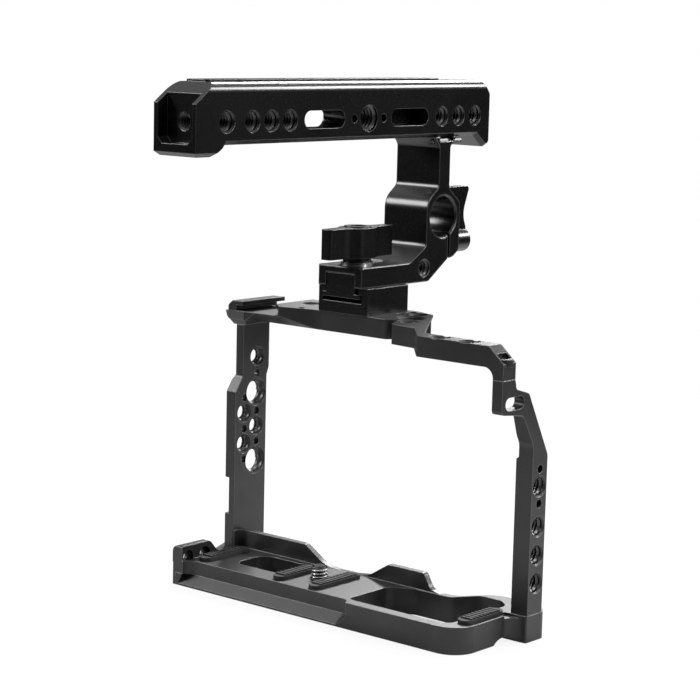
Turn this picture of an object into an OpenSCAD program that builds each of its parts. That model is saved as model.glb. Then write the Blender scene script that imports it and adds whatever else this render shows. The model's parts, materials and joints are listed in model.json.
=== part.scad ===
// Camera cage with a sliding top handle.
// A frame round a mirrorless camera: base, side and top plate, a bolted column on the grip
// side, a riser block with a T-slot, and a handle with a 15 mm rod clamp in its stem.
// Lengths are in millimetres. Inside the modules, X runs from the left end of the base to the
// grip side, Y from the camera's back to its lens side and Z up from the underside of the base.
// in_frame() then puts the origin on the camera screw, in the plane the camera sits on.

/* [Camera space] */
// Clear width between the left plate and the grip column
bay_w = 130; // [118:0.5:160]
// Clear height from the seat to the underside of the top plate
bay_h = 87.75; // [76:0.25:110]
// Distance of the camera screw from the left end of the base
screw_x = 56; // [54:0.5:59]
// Distance of the camera screw from the back edge of the base
screw_y = 19.5; // [17:0.5:22]

/* [Base plate] */
// Thickness of the base plate
base_t = 9.5; // [8.5:0.5:12]
// Width of the dovetail over its two lower edges
dovetail_w = 38; // [38:0.1:39]
// Depth of the recess above each dovetail edge
dovetail_cut = 3.5; // [2.5:0.1:4]
// Height of the square land below each 45 degree flank
dovetail_land = 0.7; // [0.4:0.1:1.5]
// Length of the dovetail along the back edge
dovetail_len = 75.5; // [60:0.5:76]
// Radius of the cutter that ends the recess
cutter_r = 5; // [4:0.5:6]
// Height of the front lips above the seat
lip_h = 6.8; // [4:0.2:9]
// Thickness of the front lips
lip_t = 2.4; // [2:0.1:3]
// Height of the end ear above the seat
ear_h = 5.5; // [4:0.5:8]
// Thickness of the end ear
ear_t = 5; // [4:0.5:6]
// Length of the end ear
ear_len = 20.8; // [18:0.2:21]
// Corner radius of the base at the grip end
base_corner_r = 9; // [5:0.5:12]

/* [Left plate] */
// Thickness of the left plate
side_t = 4; // [3.5:0.5:5]
// Extra thickness of its lower part on the outside
side_swell = 0.8; // [0:0.1:1.5]
// Width of its lower part
side_w = 16.9; // [15.5:0.1:19]
// Distance of its back edge from the back edge of the base
side_y = 28.7; // [28:0.1:30]

/* [Grip column] */
// Thickness of the grip column
grip_t = 7; // [6:0.5:9]
// Width of its straight part
grip_w = 8.3; // [8:0.1:10]
// Distance of its straight part from the back edge of the base
grip_y = 31; // [30.5:0.1:32]
// Length of the strap slot
strap_len = 10.6; // [8:0.2:11]
// Height of the strap slot
strap_h = 4.5; // [3:0.1:5]

/* [Top plate] */
// Thickness of the top plate
top_t = 7.25; // [6.5:0.25:9]
// Width of the arm that reaches the grip column
arm_w = 7; // [6:0.5:9]
// Distance of the arm from the back edge of the base
arm_y = 12.2; // [11.5:0.1:13]
// Gap between the lips of the cold shoe
shoe_gap = 12.6; // [12.5:0.1:13]
// Width of the shoe's slot under the lips
shoe_slot = 19; // [18.7:0.1:19.5]
// Height of the shoe's slot under the lips
shoe_slot_h = 2.1; // [2:0.1:2.5]
// Thickness of the shoe's lips
shoe_lip_t = 1.6; // [1.3:0.1:2]

/* [Threaded and locating holes] */
// Radius of a 1/4 in threaded hole over its thread
quarter_r = 3.175; // [3.1:0.005:3.2]
// Radius of a 3/8 in threaded hole over its thread
three_eighths_r = 4.76; // [4.7:0.01:4.8]
// Radius of a locating pin hole
pin_r = 1.5; // [1.2:0.1:1.8]
// Bevel at the mouth of each threaded hole
mouth = 0.6; // [0.3:0.1:0.8]

/* [Riser block] */
// Width of the riser block
riser_w = 23.2; // [23:0.2:26]
// Length of the riser block
riser_len = 24; // [22:0.5:28]
// Height of the riser block
riser_h = 9.9; // [9:0.1:14]
// Thickness of the lips over its T-slot
riser_lip_t = 2.2; // [1.8:0.1:2.6]
// Height of its T-slot under the lips
riser_slot_h = 3.4; // [2:0.1:3.6]

/* [T foot] */
// Width of the T foot's flange
foot_w = 18; // [17:0.5:18.5]
// Length of the T foot
foot_len = 18; // [16:0.5:18]
// Thickness of the flange
foot_flange_t = 1.6; // [1.4:0.1:1.8]
// Width of the block above the flange
foot_block_w = 13.6; // [12.6:0.2:14]
// Height of the block above the flange
foot_block_h = 7.1; // [6:0.1:7.2]

/* [Handle stem] */
// Width of the stem
stem_w = 20.5; // [19:0.5:22]
// Height of the rod bore above the riser block
rod_rise = 23.9; // [23.5:0.1:27]
// Radius of the rod bore
rod_r = 7.5; // [7.5:0.5:7.5]
// Width of the clamp's slit
slit_w = 1.2; // [0.8:0.1:1.5]
// Thickness of the post under the bar
post_t = 6.3; // [5.5:0.1:8]

/* [Handle bar] */
// Length of the bar
bar_len = 158.5; // [150:0.5:180]
// Width of the bar
bar_w = 19.6; // [19:0.1:22]
// Height of the bar without its top land
bar_h = 20.7; // [20:0.1:24]
// Radius along the top edges
bar_round = 3.4; // [1.5:0.1:4]
// Bevel along the bottom edges
bar_low_bevel = 1.4; // [0.8:0.1:2]
// Height of the land along the top
land_h = 0.8; // [0.4:0.1:1.2]

/* [Knobs] */
// Reach of the knob's wings from its axis
wing_r = 17.8; // [14:0.2:18]
// Height of the knob's wings
wing_h = 11; // [9:0.5:14]
// Thickness of the knob's wings at the tips
wing_t = 4.6; // [3.6:0.2:6]
// Radius of the rod lever's hub
lever_hub_r = 4.6; // [4:0.1:5.5]
// Reach of the rod lever from its axis
lever_reach = 20.7; // [16:0.1:24]

/* [Fits] */
// Gap between sliding faces
slide_gap = 0.1; // [0.05:0.05:0.2]
// Radial gap round a turning screw
turn_gap = 0.06; // [0.04:0.01:0.1]
// Lift of the T foot that clamps the handle
clamp_lift = 0.4; // [0.3:0.05:0.6]

/* [Hidden] */
$fn = 96;

body_colour = [0.13, 0.13, 0.14];
handle_colour = [0.08, 0.08, 0.09];
rubber_colour = [0.05, 0.05, 0.05];
steel_colour = [0.72, 0.72, 0.74];
eps = 0.01;
arc_excess = 0.004;

// Levels of the cage
seat_z = base_t;
lip_top = seat_z + lip_h;
top_low = seat_z + bay_h;
top_z = top_low + top_t;
left_seam = top_low - 2;
grip_seam = top_low - 4;
riser_top = top_z + riser_h;

// Places along X
grip_in = side_t + bay_w;
grip_out = grip_in + grip_t;
base_end = grip_in + 1;
riser_x = side_t + 47.1;
shoe_x = side_t + 7.3;

// Places along Y
slab_far = dovetail_w - dovetail_cut;
riser_y = 34.4;
side_far = side_y + side_w;

// Handle levels, all built up from the riser block
stem_low = riser_top + slide_gap;
arm_top = stem_low + 7.5;
rod_y = 79.6;
rod_z = riser_top + rod_rise;
bar_low = rod_z + 29.8;
bar_top = bar_low + bar_h;
bar_y0 = -52.5;
bar_y1 = bar_y0 + bar_len;
bar_x0 = riser_x + 0.4 - bar_w / 2;
bar_x1 = bar_x0 + bar_w;
back_nose_z = bar_low - 3.8;
stem_x0 = riser_x - stem_w / 2;
stem_x1 = riser_x + stem_w / 2;
hole_z = bar_top - 13;

// T-slot levels
slot_z = riser_top - riser_lip_t - riser_slot_h;
foot_low = riser_top - riser_lip_t - foot_flange_t - slide_gap / 2;
stud_y = riser_y + 7.8;
stud_r = 2.5;
knob_z = arm_top + 2.7;
lever_z = rod_z - rod_r - 3.3;
lever_y = rod_y + 10.9;

// Puts the origin on the camera screw at seat level
module in_frame() {
  translate([-screw_x, -screw_y, -seat_z]) children();
}

// Extrudes a plan outline from z0 to z1
module plan(z0, z1) {
  translate([0, 0, z0]) linear_extrude(z1 - z0) children();
}

// Extrudes a side outline (y, z) from x0 to x1
module side(x0, x1) {
  translate([x0, 0, 0]) rotate([90, 0, 90]) linear_extrude(x1 - x0) children();
}

// Extrudes a front outline (x, z) from y0 to y1
module front(y0, y1) {
  translate([0, y1, 0]) rotate([90, 0, 0]) linear_extrude(y1 - y0) children();
}

// Shafts along each axis, from a start point
module rod_x(x0, x1, y, z, r) {
  translate([x0, y, z]) rotate([0, 90, 0]) cylinder(h = x1 - x0, r = r);
}

module rod_y_dir(x, y0, y1, z, r) {
  translate([x, y0, z]) rotate([-90, 0, 0]) cylinder(h = y1 - y0, r = r);
}

module rod_up(x, y, z0, z1, r) {
  translate([x, y, z0]) cylinder(h = z1 - z0, r = r);
}

// Threaded hole along X through a wall from x0 to x1, bevelled at both mouths
module tapped_x(x0, x1, y, z, r) {
  rod_x(x0 - eps, x1 + eps, y, z, r);
  translate([x1 - mouth, y, z]) rotate([0, 90, 0])
    cylinder(h = mouth + eps, r1 = r, r2 = r + mouth + eps);
  translate([x0 - eps, y, z]) rotate([0, 90, 0])
    cylinder(h = mouth + eps, r1 = r + mouth + eps, r2 = r);
}

// Threaded hole down through a plate from z0 to z1, bevelled at the top
module tapped_down(x, y, z0, z1, r) {
  rod_up(x, y, z0 - eps, z1 + eps, r);
  translate([x, y, z1 - mouth]) cylinder(h = mouth + eps, r1 = r, r2 = r + mouth + eps);
}

// Unit direction from a to b
function dir(a, b) = (b - a) / norm(b - a);

// Outline through points [x, y, radius], in anticlockwise order, with a true arc at each corner.
// Each arc is a hair larger than stated, so that it crosses both sides cleanly.
module rounded(p) {
  n = len(p);
  hollow = [for (i = [0 : n - 1]) p[i][2] > 0 && turn(p, i) < 0];
  difference() {
    polygon([for (i = [0 : n - 1])
      each hollow[i] ? [foot(p, i, -1), centre(p, i), foot(p, i, 1)] : [at(p, i)]]);
    for (i = [0 : n - 1])
      if (hollow[i]) translate(centre(p, i)) circle(p[i][2] + arc_excess);
      else if (p[i][2] > 0) corner(p, i);
  }
}

function at(p, i) = let (q = p[(i + len(p)) % len(p)]) [q[0], q[1]];
function turn(p, i) = cross(at(p, i) - at(p, i - 1), at(p, i + 1) - at(p, i));
function half_angle(p, i) =
  acos(dir(at(p, i), at(p, i - 1)) * dir(at(p, i), at(p, i + 1))) / 2;

// Where the arc at corner i meets the side before it (-1) or after it (1)
function foot(p, i, step) =
  at(p, i) + dir(at(p, i), at(p, i + step)) * p[i][2] / tan(half_angle(p, i));

// Centre of the arc at corner i
function centre(p, i) =
  let (u = dir(at(p, i), at(p, i - 1)) + dir(at(p, i), at(p, i + 1)))
  at(p, i) + u / norm(u) * p[i][2] / sin(half_angle(p, i));

// What the arc takes off an outward corner
module corner(p, i) {
  v = at(p, i);
  c = centre(p, i);
  difference() {
    polygon([foot(p, i, -1), v + (v - c) * 0.4, foot(p, i, 1), c]);
    translate(c) circle(p[i][2] + arc_excess);
  }
}

// Rectangle with one corner radius
module box2(x0, y0, x1, y1, r) {
  rounded([[x0, y0, r], [x1, y0, r], [x1, y1, r], [x0, y1, r]]);
}

// Slot with round ends along the first axis
module slot2(a0, a1, b, r) {
  translate([a0 + r, b]) circle(r);
  translate([a1 - r, b]) circle(r);
  translate([a0 + r, b - r]) square([a1 - a0 - 2 * r, 2 * r]);
}

// ---- Base plate ----

module base_outline() {
  rounded([
    [0, 0, 0.4],
    [base_end, 0, base_corner_r],
    [base_end, grip_y - 0.4, 5],
    [grip_out, grip_y - 0.4, 0.6],
    [grip_out, grip_y + grip_w + 1, 3],
    [grip_out - 5, side_far + 0.8, 4],
    [grip_in - 17, side_far + 0.8, 8],
    [grip_in - 27, slab_far, 6],
    [side_t + 4, slab_far, 3],
    [side_t + 4, side_far + 0.8, 2],
    [-4, side_far + 0.8, 2],
    [-4, side_y + 3, 4],
    [0.4, ear_len + 0.6, 4]
  ]);
}

// Recess above the back dovetail edge, ended by the cutter's radius. Below the ear's block
// the flank runs on nearly to the end.
module back_recess() {
  flank_top = dovetail_land + dovetail_cut;
  inset = sqrt(cutter_r * cutter_r - pow(cutter_r - dovetail_cut, 2)) + 0.15;
  run = dovetail_len + ear_t;
  side(ear_t + inset, run)
    polygon([[-1, dovetail_land], [0, dovetail_land], [dovetail_cut, flank_top],
             [dovetail_cut, base_t + 1], [-1, base_t + 1]]);
  for (x = [ear_t + inset, run])
    translate([x, dovetail_cut - cutter_r, 0]) rotate_extrude()
      polygon([[0, dovetail_land], [cutter_r - dovetail_cut, dovetail_land],
               [cutter_r, flank_top], [cutter_r, base_t + 1], [0, base_t + 1]]);
  side(1.5, ear_t + inset + 1)
    polygon([[-1, dovetail_land], [0, dovetail_land], [dovetail_cut, flank_top],
             [-1, flank_top + 0.7]]);
}

// Front dovetail edge, standing out from the slab
module front_dovetail() {
  side(side_t + 3, grip_in - 30)
    polygon([[slab_far - 1, 0], [dovetail_w, 0], [dovetail_w, dovetail_land],
             [slab_far, dovetail_land + dovetail_cut], [slab_far - 1, dovetail_land + dovetail_cut]]);
}

module front_lips() {
  front(slab_far - lip_t, slab_far) {
    rounded([[side_t, 8, 0], [side_t + 50, 8, 0], [side_t + 50, seat_z, 0],
             [side_t + 43.5, seat_z + 0.6, 14], [side_t + 33.5, lip_top, 1.5],
             [side_t, lip_top, 0]]);
    rounded([[screw_x + 5, 8, 0], [grip_in - 31, 8, 0], [grip_in - 32, seat_z, 0],
             [grip_in - 36.5, seat_z + 0.9, 4], [grip_in - 39.5, lip_top - 0.4, 2],
             [screw_x + 22, lip_top - 0.4, 2], [screw_x + 13, seat_z + 0.8, 9],
             [screw_x + 6, seat_z, 0]]);
  }
}

// Round blend between the left lip and the left plate
module lip_blend() {
  blend_r = 4;
  y = slab_far - lip_t;
  plan(8, lip_top) difference() {
    translate([side_t, y - blend_r]) square([blend_r, blend_r + 0.5]);
    translate([side_t + blend_r, y - blend_r]) circle(blend_r);
  }
}

ear_holes = [3.4, 12.2];
ear_hole_z = seat_z + 0.8;
ear_hole_r = 1;
ear_web = 1.2;
ear_seat_r = 2.8;
ear_seat_depth = 1.9;

module end_ear() {
  intersection() {
    side(0, ear_t)
      rounded([[0, seat_z - 1, 0], [ear_len, seat_z - 1, 0], [ear_len, seat_z, 0],
               [ear_len - 2.8, seat_z + 1.9, 2], [ear_len - 6, seat_z + ear_h, 3.2],
               [0, seat_z + ear_h, 1]]);
    front(-1, ear_len + 1)
      rounded([[0, seat_z - 1, 0], [ear_t, seat_z - 1, 0], [ear_t, seat_z + ear_h, 0.4],
               [0, seat_z + ear_h, 2.6]]);
  }
}

// Two through holes in the ear, each with a round seat on both faces
module ear_cuts() {
  for (y = ear_holes) {
    rod_x(-1, ear_t + eps, y, ear_hole_z, ear_hole_r);
    rod_x(ear_t - ear_seat_depth, ear_t + eps, y, ear_hole_z, ear_seat_r);
    rod_x(-1, ear_t - ear_seat_depth - ear_web, y, ear_hole_z, ear_seat_r);
  }
}

// Window through the base for the battery door, widened towards the lens
module battery_window() {
  x0 = screw_x + 26.5;
  x1 = grip_in - 6.5;
  plan(-1, base_t + 1)
    rounded([[x0, 4.3, 3], [x1, 4.3, 4], [x1, 37, 5], [x1 - 5, 41.2, 3], [x1 - 14, 41.2, 4],
             [x1 - 20.5, slab_far - lip_t - 0.5, 4], [x0 + 9, slab_far - lip_t - 0.5, 5],
             [x0, 27, 4]]);
}

module lens_window() {
  plan(-1, base_t + 1)
    rounded([[20, 15.5, 1.5], [23, 12.4, 1.5], [41.5, 12.4, 1.5], [44.5, 15.5, 1.5],
             [44.5, 25.5, 3], [40.5, 29, 3], [24, 29, 3], [20, 25.5, 3]]);
}

screw_hole_r = 3.5;
screw_well_r = 7.6;
screw_web = 4.2;

module base_plate() {
  color(body_colour) in_frame() difference() {
    union() {
      difference() {
        plan(0, base_t) base_outline();
        back_recess();
      }
      front_dovetail();
      front_lips();
      lip_blend();
      end_ear();
    }
    ear_cuts();
    battery_window();
    lens_window();
    rod_up(screw_x, screw_y, -1, base_t + 1, screw_hole_r);
    rod_up(screw_x, screw_y, -1, base_t - screw_web, screw_well_r);
    for (y = grip_screw_ys) {
      rod_up(grip_screw_x, y, -1, base_t + 1, m25_r);
      rod_up(grip_screw_x, y, -1, m25_head_h + 0.4, m25_head_r + 0.05);
    }
    // Arched relief under the grip end and a shallow step beside the column
    rod_x(grip_in - 8, grip_out + 1, grip_y - 5.6, -5.4, 7.4);
    plan(seat_z - 1, seat_z + 1) box2(grip_in - 2, grip_y - 5, grip_out + 1, grip_y - 0.8, 0.8);
  }
}

// ---- Left plate ----

side_rows = [33.6, 40.3];
side_quarter = [[side_rows[1], 73], [side_rows[0], 51.9], [side_rows[1], 46.1],
                [side_rows[0], 39.9]];
side_three_eighths = [[side_rows[1] - 0.3, 59.3], [side_rows[1] - 0.3, 32.7]];
side_pins = [[side_rows[1], 66.7], [side_rows[0], 57.7], [side_rows[1], 52],
             [side_rows[0], 45.7], [side_rows[1], 40.1], [side_rows[0], 33.9]];

module left_column() {
  neck_y = side_y + 3.9;
  step_z = seat_z + 66.5;
  color(body_colour) in_frame() difference() {
    union() {
      intersection() {
        side(-side_swell, side_t)
          rounded([[side_y, seat_z, 0], [side_far, seat_z, 0], [side_far, step_z - 1, 3],
                   [side_far + 1.2, step_z + 2, 3], [side_far + 1.2, left_seam, 0],
                   [neck_y, left_seam, 0], [neck_y, step_z - 0.4, 2],
                   [side_y, step_z - 6.2, 2]]);
        front(side_y - 1, side_far + 3)
          polygon([[-side_swell, seat_z], [side_t, seat_z], [side_t, left_seam],
                   [0.2, left_seam], [0.2, step_z], [-side_swell, step_z - 2]]);
      }
      // Fillet at the foot of the outer face
      front(side_y + 3.4, side_far) difference() {
        translate([-side_swell - 2, seat_z]) square([2.5, 2]);
        translate([-side_swell - 2, seat_z + 1.95]) circle(2);
      }
    }
    // Cable notch in the outer back edge
    plan(seat_z + 13, seat_z + 27) box2(-2, side_y - 3, 1.1, side_y + 6, 1);
    for (p = side_quarter) tapped_x(-side_swell, side_t, p[0], seat_z + p[1], quarter_r);
    for (p = side_three_eighths)
      tapped_x(-side_swell, side_t, p[0], seat_z + p[1], three_eighths_r);
    for (p = side_pins) rod_x(-2, side_t + 1, p[0], seat_z + p[1], pin_r);
  }
}

// ---- Top plate ----

plate_x0 = -4;
shoe_y = 30.5;
far_wall = [[riser_x + 51, arm_y + arm_w], [riser_x + 24, 57.8]];

module top_outline() {
  rounded([
    [plate_x0, shoe_y, 3],
    [shoe_x + 12.5, shoe_y, 6],
    [shoe_x + 26.5, 35, 14],
    [riser_x + 20.4, 35, 1.5],
    [riser_x + 22, 37.2, 1],
    [riser_x + 25.2, 36.4, 1.2],
    [riser_x + 28.9, 27.8, 1.5],
    [riser_x + 40.6, 26.2, 1],
    [riser_x + 53, arm_y, 1.5],
    [grip_out, arm_y, 0],
    [grip_out, arm_y + arm_w, 0],
    [far_wall[0][0], far_wall[0][1], 3],
    [far_wall[1][0], far_wall[1][1], 3],
    [riser_x + 14, 61, 5],
    [riser_x - 16, 61, 8],
    [riser_x - 26, 56, 8],
    [shoe_x - 5, 56, 2],
    [shoe_x - 7, 53.2, 2],
    [plate_x0, 53.2, 3]
  ]);
}

top_cluster_quarter = [[riser_x + 29.2, 36.8], [riser_x + 19.5, 54.2], [riser_x - 26.2, 47]];
top_cluster_three_eighths = [[riser_x + 23.9, 45]];
top_cluster_pins = [[riser_x + 14.9, 50.4], [riser_x + 14.4, 57.6]];
arm_hole_y = arm_y + arm_w / 2;
arm_hole_xs = [grip_out - 29.7, grip_out - 17];

// Cold shoe: T-slot open at the back, with a bevelled outer lip
module shoe_cut() {
  floor_z = top_z - shoe_lip_t - shoe_slot_h;
  x0 = shoe_x - shoe_slot / 2;
  x1 = shoe_x + shoe_slot / 2;
  plan(floor_z, top_z - shoe_lip_t) translate([x0, 25]) square([shoe_slot, 40]);
  plan(floor_z, top_z + 1) translate([shoe_x - shoe_gap / 2, 25]) square([shoe_gap, 40]);
  // Lead-in at the back end of the inner lip
  plan(floor_z, top_z + 1)
    polygon([[shoe_x, 25], [x1 + 2.4, 29], [x1 + 2.4, 31], [shoe_x + shoe_gap / 2, 35.5]]);
}

module top_plate() {
  foot_y = side_y + 3.9;
  bevel_z = top_low + 3.7;
  bevel_x = side_t + 9.5;
  bevel_y = 27;
  color(body_colour) in_frame() difference() {
    union() {
      difference() {
        union() {
          plan(top_low, top_z) top_outline();
          // Foot that meets the left plate, rounded at its outer end
          front(foot_y, side_far + 1.2)
            rounded([[plate_x0, left_seam, 2.6], [side_t, left_seam, 0],
                     [side_t, top_low + 1, 0], [plate_x0, top_low + 1, 0]]);
          // Brow over the left plate
          side(plate_x0, side_t + 1)
            polygon([[foot_y + 1, left_seam], [foot_y + 1, bevel_z - 0.5],
                     [shoe_y + 0.3, bevel_z - 0.5], [foot_y, left_seam]]);
        }
        // Bevel under the back edge of the shoe, ended by a cone beside the left plate
        side(bevel_x, shoe_x + 30)
          polygon([[shoe_y - 2, bevel_z + 1.7], [35.4, top_low - 0.3], [shoe_y - 2, top_low - 6]]);
        translate([bevel_x, bevel_y, 0]) rotate_extrude()
          polygon([[0, top_low - 0.3], [35.4 - bevel_y, top_low - 0.3],
                   [shoe_y - bevel_y, bevel_z], [0, bevel_z + (shoe_y - bevel_y) * 0.8]]);
        // Bevel round the outer end of the shoe
        side(plate_x0 - 1, side_t + 1.5)
          polygon([[shoe_y - 2, bevel_z + 0.9], [shoe_y - 0.3, bevel_z + 0.9],
                   [foot_y - 0.2, left_seam - 0.4], [shoe_y - 2, left_seam - 0.4]]);
        front(20, 70)
          polygon([[plate_x0 - eps, top_z - 3], [plate_x0 + 4, top_z + eps],
                   [plate_x0 - eps, top_z + eps]]);
        front(20, 70)
          polygon([[plate_x0 - eps, left_seam - 1], [plate_x0 - eps, top_low + 0.8],
                   [-1.2, left_seam - eps], [-1.2, left_seam - 1]]);
        // Undercut of the far slanted wall
        translate([far_wall[0][0], far_wall[0][1], 0])
          rotate([0, 0, atan2(far_wall[1][1] - far_wall[0][1], far_wall[1][0] - far_wall[0][0])])
            side(2, norm(far_wall[1] - far_wall[0]) + 1)
              polygon([[-1, top_z - 0.6], [0.15, top_z - 0.6], [2.8, top_low],
                       [2.8, top_low - 1], [-1, top_low - 1]]);
        // Notch in the back edge
        rod_up(riser_x - 20.1, 34.9, top_z - 1.6, top_z + 1, 1.3);
      }
      // End of the arm, turned down to the grip column
      intersection() {
        plan(grip_seam, top_z) translate([grip_in - 3, arm_y]) square([grip_t + 3, arm_w]);
        front(arm_y, arm_y + arm_w)
          rounded([[grip_out, grip_seam, 0], [grip_out, top_z, 0], [grip_in - 3, top_z, 0],
                   [grip_in - 3, top_low, 0], [grip_out - 4.2, top_low, 3.7],
                   [grip_out - 4.2, grip_seam, 0]]);
      }
    }
    // Bevelled corner of the arm with its screw
    front(arm_y - 1, arm_y + arm_w + 1)
      polygon([[grip_out - 6.5, top_z + eps], [grip_out + eps, top_z - 5.6],
               [grip_out + eps, top_z + eps]]);
    corner_screw_place() {
      rod_up(0, 0, -14, 1, m3_r);
      rod_up(0, 0, -corner_well, 1, m3_head_r + 0.1);
    }
    for (x = arm_hole_xs) tapped_down(x, arm_hole_y, top_low, top_z, quarter_r);
    for (p = top_cluster_quarter) tapped_down(p[0], p[1], top_low, top_z, quarter_r);
    for (p = top_cluster_three_eighths)
      tapped_down(p[0], p[1], top_low, top_z, three_eighths_r);
    for (p = top_cluster_pins) rod_up(p[0], p[1], top_low - 1, top_z + 1, pin_r);
    for (y = riser_screw_ys) {
      rod_up(riser_x, y, top_low - 1, top_z + 1, m4_r);
      rod_up(riser_x, y, top_low - 1, top_low + m4_head_h + 0.3, m4_head_r + 0.1);
    }
    shoe_cut();
  }
}

// ---- Grip column ----

grip_hole_y = grip_y + 4.4;
grip_quarter = [10.8, 20.8, 30.8, 44.8];
grip_pins = [38.9, 51];

module grip_column() {
  bend = grip_seam - 29;
  color(body_colour) in_frame() difference() {
    intersection() {
      side(grip_in, grip_out)
        rounded([[grip_y, seat_z, 0], [grip_y + grip_w, seat_z, 0],
                 [grip_y + grip_w + 0.2, bend + 0.8, 4],
                 [grip_y - 3.6, grip_seam - 5.6, 2.5], [arm_y + arm_w + 1, grip_seam - 3.5, 1],
                 [arm_y + arm_w, grip_seam, 0], [arm_y, grip_seam, 0],
                 [arm_y, grip_seam - 11.5, 1.5], [arm_y + 12.4, grip_seam - 12.9, 3],
                 [grip_y, grip_seam - 24, 5]]);
      front(arm_y - 1, grip_y + grip_w + 2)
        rounded([[grip_in, seat_z, 0], [grip_out, seat_z, 0], [grip_out, grip_seam, 0],
                 [grip_out - 4.2, grip_seam, 0], [grip_out - 4.2, grip_seam - 12, 8],
                 [grip_in + 1, grip_seam - 21, 8], [grip_in + 1, bend, 0.8],
                 [grip_in, bend - 0.4, 0]]);
    }
    side(grip_out - 6, grip_out + 1)
      translate([arm_y + 2, grip_seam - 8.2])
        slot2(0, strap_len, 0, strap_h / 2);
    for (z = grip_quarter) tapped_x(grip_in, grip_out, grip_hole_y, seat_z + z, quarter_r);
    for (z = grip_pins) rod_x(grip_in - 1, grip_out + 1, grip_hole_y, seat_z + z, pin_r);
    for (y = grip_screw_ys) rod_up(grip_screw_x, y, seat_z - 1, seat_z + 6.2, m25_r);
    corner_screw_place() rod_up(0, 0, -12.2, 0, m3_r);
  }
}

// ---- Screws that hold the cage together ----

m3_r = 1.5;
m3_head_r = 2.75;
m3_head_h = 2.6;
m25_r = 1.25;
m25_head_r = 2.15;
m25_head_h = 2.4;
m4_r = 2;
m4_head_r = 3.6;
m4_head_h = 3.4;
corner_well = 3.2;
grip_screw_x = grip_in + 4.2;
grip_screw_ys = [grip_y + 1.9, grip_y + grip_w - 1.8];
riser_screw_ys = [riser_y + 5.6, riser_y + 18.6];

// Socket-head screw along +Z, its head's outer face at z = 0
module cap_screw(r, head_r, head_h, len) {
  difference() {
    union() {
      translate([0, 0, head_h - eps]) cylinder(h = len - head_h + eps, r = r);
      cylinder(h = head_h, r = head_r);
    }
    translate([0, 0, -eps]) cylinder(h = head_h * 0.6, r = head_r * 0.52, $fn = 6);
  }
}

// Axis of the screw in the arm's bevelled corner, pointing out of the bevel
module corner_screw_place() {
  translate([grip_out - 2.1, arm_y + arm_w / 2, top_z - 3.6]) children();
}

module grip_base_screws() {
  color(body_colour) in_frame() for (y = grip_screw_ys)
    translate([grip_screw_x, y, 0.4]) cap_screw(m25_r, m25_head_r, m25_head_h, base_t + 5.4);
}

module grip_corner_screw() {
  color(body_colour) in_frame() corner_screw_place()
    translate([0, 0, m3_head_h - corner_well]) rotate([180, 0, 0])
      cap_screw(m3_r, m3_head_r, m3_head_h, 11);
}

// ---- Riser block ----

module riser_block() {
  x0 = riser_x - riser_w / 2;
  slot_half = foot_w / 2 + slide_gap + 0.2;
  lip_half = foot_block_w / 2 + slide_gap;
  stop_y = riser_y + foot_len - 1.1;
  color(body_colour) in_frame() difference() {
    plan(top_z, riser_top)
      box2(x0, riser_y, x0 + riser_w, riser_y + riser_len, 0.6);
    plan(slot_z, riser_top - riser_lip_t)
      translate([riser_x - slot_half, riser_y - 1]) square([2 * slot_half, stop_y - riser_y + 1]);
    plan(slot_z, riser_top + 1)
      translate([riser_x - lip_half, riser_y - 1]) square([2 * lip_half, stop_y - riser_y + 1]);
    for (y = riser_screw_ys) rod_up(riser_x, y, top_z - 1, slot_z - 0.4, m4_r);
  }
}

module riser_screws() {
  color(body_colour) in_frame() for (y = riser_screw_ys)
    translate([riser_x, y, top_low + 0.3])
      cap_screw(m4_r, m4_head_r, m4_head_h, slot_z - top_low - 1.1);
}

// ---- Rubber pads ----

pad_w = 5.6;
pad_h = 1.8;
rib_pitch = 1.9;

// Pad along Y with round ends and a row of cross ribs
module pad(x, y0, y1) {
  ribs = floor((y1 - y0 - pad_w) / rib_pitch);
  start = (y0 + y1 - ribs * rib_pitch) / 2;
  color(rubber_colour) in_frame() union() {
    plan(seat_z, seat_z + pad_h - 0.5) hull() {
      translate([x, y0 + pad_w / 2]) circle(pad_w / 2);
      translate([x, y1 - pad_w / 2]) circle(pad_w / 2);
    }
    for (i = [0 : ribs])
      translate([x - pad_w / 2 + 0.5, start + i * rib_pitch - 0.55, seat_z + pad_h - 0.6])
        cube([pad_w - 1, 1.1, 0.6]);
  }
}

module pad_left() { pad(side_t + 6, 5.5, 29.5); }
module pad_mid_a() { pad(screw_x - 8.6, 5.5, 27); }
module pad_mid_b() { pad(screw_x + 9, 5, 30.5); }
module pad_right() { pad(base_end - 4.4, 7.3, 29); }

// ---- Camera screw ----

shank_r = 2.7;
thread_h = 4.4;

// Thread standing over the seat, a thinner shank through the base and a slotted head
module camera_screw() {
  head_r = screw_well_r - 0.8;
  head_h = 3.2;
  color(steel_colour) in_frame() translate([screw_x, screw_y, 0.5]) difference() {
    union() {
      cylinder(h = head_h, r = head_r);
      cylinder(h = seat_z, r = shank_r);
      translate([0, 0, seat_z - 0.5]) cylinder(h = thread_h, r = quarter_r);
      translate([0, 0, seat_z - 0.5 + thread_h - eps])
        cylinder(h = 0.6, r1 = quarter_r, r2 = quarter_r - 0.6);
    }
    // Coin slot across the head
    translate([-head_r - 1, -0.9, -eps]) cube([2 * head_r + 2, 1.8, 1.6]);
  }
}

module camera_screw_clip() {
  color(steel_colour) in_frame() translate([screw_x, screw_y, 3.9]) difference() {
    cylinder(h = 0.8, r = shank_r + 2.6);
    translate([0, 0, -1]) cylinder(h = 3, r = shank_r + turn_gap);
  }
}

// ---- Handle stem ----

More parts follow.
